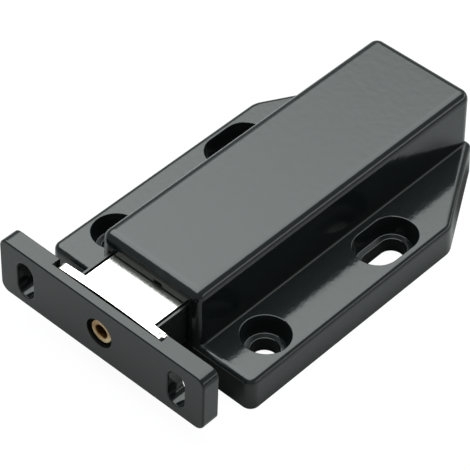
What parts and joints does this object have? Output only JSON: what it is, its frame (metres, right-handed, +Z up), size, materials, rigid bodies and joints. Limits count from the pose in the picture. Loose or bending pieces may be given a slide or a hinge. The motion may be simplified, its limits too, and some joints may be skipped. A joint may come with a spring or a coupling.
{
  "type": "magnetic door catch",
  "caption": "Screw-on magnetic push catch: moulded housing with a sprung magnetic plunger, and the door strike that it holds by its steel counter plate.",
  "frame": {"origin": "centre of the bounding box's underside, on the plane that the housing is screwed to", "axes": "+X along the strike, to the right seen from the door; +Y from the strike and plunger to the housing's tail; +Z up from the mounting surface"},
  "size_m": [0.0536, 0.0936, 0.0206],
  "materials": {
    "black_moulding": "black moulded plastic with a satin gloss",
    "strike_plastic": "black moulded plastic with a satin gloss",
    "carrier_plastic": "black moulded plastic",
    "pole_steel": "bright nickel plate, lightly ground",
    "counter_steel": "bright nickel plate with stamped edges",
    "zinc_steel": "zinc plate",
    "spring_steel": "drawn spring wire",
    "spring_bronze": "rolled spring bronze strip",
    "ferrite": "sintered ferrite, dark grey",
    "rubber": "soft rubber",
    "brass": "turned brass"
  },
  "bodies": {
    "housing": {"housing": "black_moulding", "bottom_cover": "black_moulding", "cover_screw_1": "zinc_steel", "cover_screw_2": "zinc_steel", "cover_screw_3": "zinc_steel", "cover_screw_4": "zinc_steel", "return_spring_left": "spring_steel", "return_spring_right": "spring_steel", "follower_leaf": "spring_bronze", "damper_pad_left": "rubber", "damper_pad_right": "rubber"},
    "plunger": {"plunger_carrier": "carrier_plastic", "upper_pole_plate": "pole_steel", "lower_pole_plate": "pole_steel", "magnet": "ferrite", "pole_rivet_left": "zinc_steel", "pole_rivet_right": "zinc_steel", "strike_holder": "strike_plastic", "counter_plate": "counter_steel", "strike_rivet": "brass"},
    "follower": {"cam_follower": "spring_steel"}
  },
  "joints": [
    {"name": "plunger_slide", "type": "slide", "parent": "housing", "child": "plunger", "axis": [0, 1, 0], "range_m": [0, 0.008], "stiffness_N_per_m": 800, "springref_m": -0.01, "deforming": ["return_spring_left", "return_spring_right"]},
    {"name": "follower_swing", "type": "hinge", "parent": "housing", "child": "follower", "pos_m": [-0.0022, 0.02828, 0.0034], "axis": [0, 0, 1], "range_deg": [0, 9]}
  ]
}
